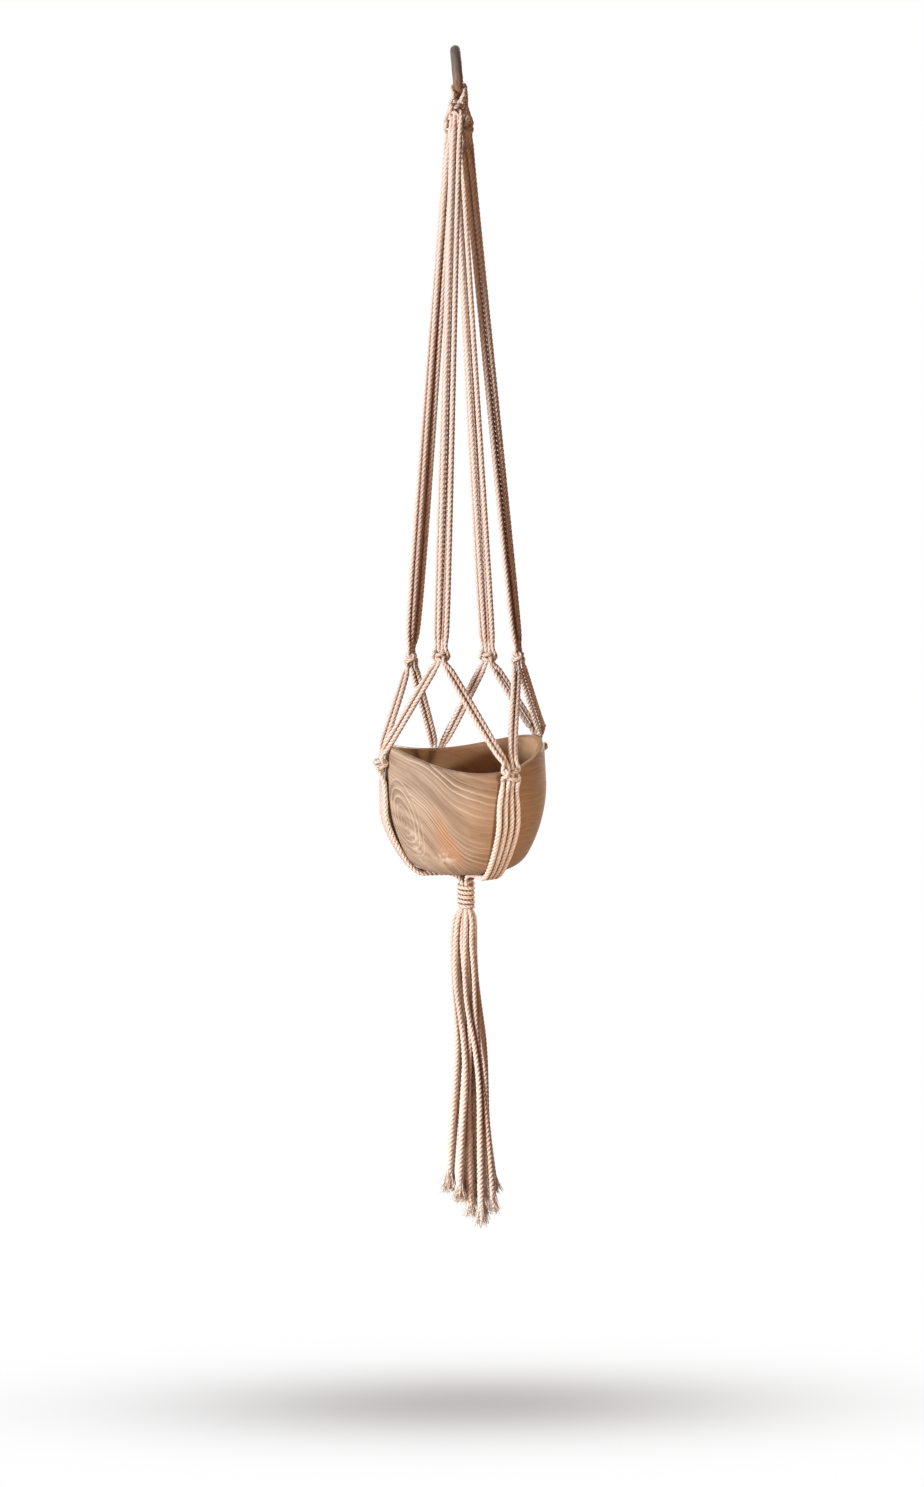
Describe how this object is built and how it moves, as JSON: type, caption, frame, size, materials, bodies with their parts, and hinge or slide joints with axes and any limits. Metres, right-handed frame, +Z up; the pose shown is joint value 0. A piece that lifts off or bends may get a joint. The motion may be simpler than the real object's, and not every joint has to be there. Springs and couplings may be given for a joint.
{
  "type": "macrame plant hanger",
  "caption": "Hanging planter: wooden ring, cotton cords tied in square knots into legs and an open net that cradles a dip-rimmed wooden bowl, with a bound gather and a long tassel below.",
  "frame": {"origin": "hook seat: the inside of the wooden ring at its top, where a hook carries the hanger", "axes": "+Z up along the hanger, +Y to the back of the pictured view, +X to its right; the ring is seen edge-on along Y"},
  "size_m": [0.1595, 0.1557, 1.0512],
  "materials": {
    "cotton_cord": "laid three-strand cotton cord, matt, cream with a warm peach cast",
    "ring_wood": "weathered grey-brown wooden ring, smooth, satin",
    "bowl_wood": "turned and hollowed hardwood with strong growth-ring figure, oiled satin"
  },
  "bodies": {
    "ring": {"hanging_ring": "ring_wood"},
    "loops": {"ring_loops_a": "cotton_cord", "ring_loops_b": "cotton_cord", "ring_loops_c": "cotton_cord", "ring_loops_d": "cotton_cord"},
    "hanger": {"top_knot_a": "cotton_cord", "top_knot_b": "cotton_cord", "top_knot_c": "cotton_cord", "top_knot_d": "cotton_cord", "leg_cords_a": "cotton_cord", "leg_cords_b": "cotton_cord", "leg_cords_c": "cotton_cord", "leg_cords_d": "cotton_cord", "upper_knot_a": "cotton_cord", "upper_knot_b": "cotton_cord", "upper_knot_c": "cotton_cord", "upper_knot_d": "cotton_cord", "net_cords_a_left": "cotton_cord", "net_cords_b_left": "cotton_cord", "net_cords_b_front": "cotton_cord", "net_cords_d_front": "cotton_cord", "net_cords_d_right": "cotton_cord", "net_cords_c_right": "cotton_cord", "net_cords_c_back": "cotton_cord", "net_cords_a_back": "cotton_cord", "lower_knot_left": "cotton_cord", "lower_knot_front": "cotton_cord", "lower_knot_right": "cotton_cord", "lower_knot_back": "cotton_cord", "cradle_cords_left": "cotton_cord", "cradle_cords_front": "cotton_cord", "cradle_cords_right": "cotton_cord", "cradle_cords_back": "cotton_cord", "gather_core": "cotton_cord", "gather_wrap": "cotton_cord"},
    "bowl": {"bowl": "bowl_wood"},
    "tassel": {"tassel_neck": "cotton_cord", "tassel_cords_left": "cotton_cord", "tassel_cords_front": "cotton_cord", "tassel_cords_right": "cotton_cord", "tassel_cords_back": "cotton_cord"}
  },
  "joints": [
    {"name": "swing_front_back", "type": "hinge", "parent": "ring", "child": "loops", "pos_m": [0.00139, 0, -0.01594], "axis": [0.9962, 0, 0.0872], "range_deg": [-30, 30]},
    {"name": "swing_sideways", "type": "hinge", "parent": "loops", "child": "hanger", "pos_m": [0.00318, 0, -0.03636], "axis": [0, 1, 0], "range_deg": [-20, 20], "deforming": ["ring_loops_a", "ring_loops_b", "ring_loops_c", "ring_loops_d"]},
    {"name": "bowl_lift", "type": "slide", "parent": "hanger", "child": "bowl", "axis": [0, 0, 1], "range_m": [0, 0.005]},
    {"name": "tassel_swing", "type": "hinge", "parent": "hanger", "child": "tassel", "pos_m": [0.00318, 0, -0.7471], "axis": [0, 1, 0], "range_deg": [-30, 30], "deforming": ["tassel_neck"]}
  ]
}
